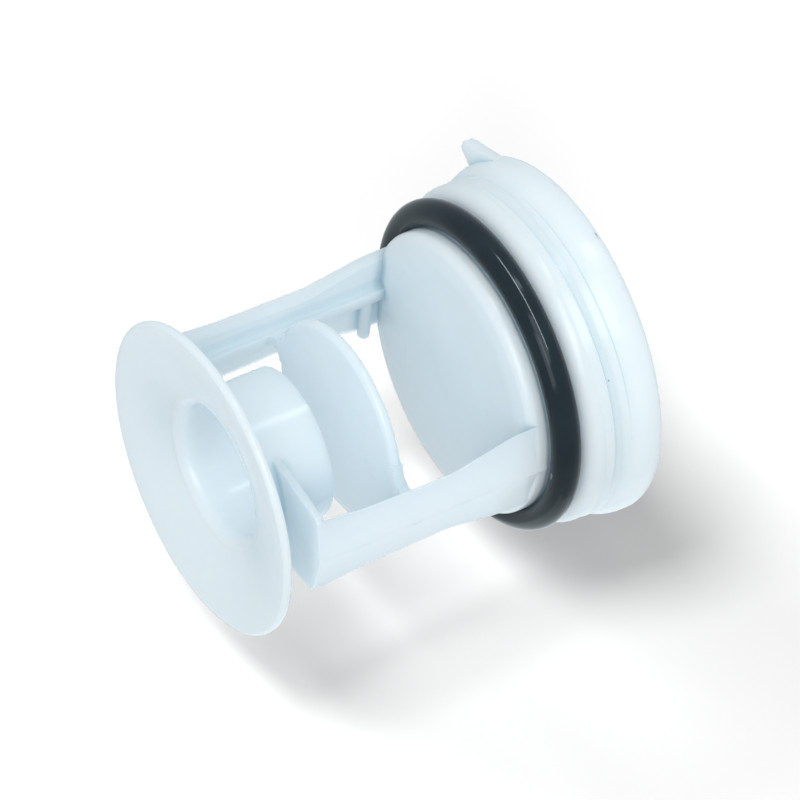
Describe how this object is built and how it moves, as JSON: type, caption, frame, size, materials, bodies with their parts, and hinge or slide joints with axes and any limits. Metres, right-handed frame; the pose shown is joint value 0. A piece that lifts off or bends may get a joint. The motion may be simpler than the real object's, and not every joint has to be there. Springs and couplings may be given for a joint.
{
  "type": "washing machine drain filter",
  "caption": "Screw-in drain pump filter plug: threaded cap with seal ring, and a cage of arms that carry a baffle disc and a bell-mouthed tube.",
  "frame": {"origin": "centre of the cap's standing rim, on the plane that it stands on", "axes": "+Z along the plug's axis from the cap to the bell mouth, +X through the middle of one arm, +Y square to both"},
  "size_m": [0.066, 0.066, 0.0739],
  "materials": {
    "moulding": "milky natural polypropylene, satin, slightly see-through at thin edges",
    "seal": "black moulded nitrile rubber, smooth"
  },
  "bodies": {
    "root": {"filter_plug": "moulding", "seal_ring": "seal"}
  },
  "joints": []
}
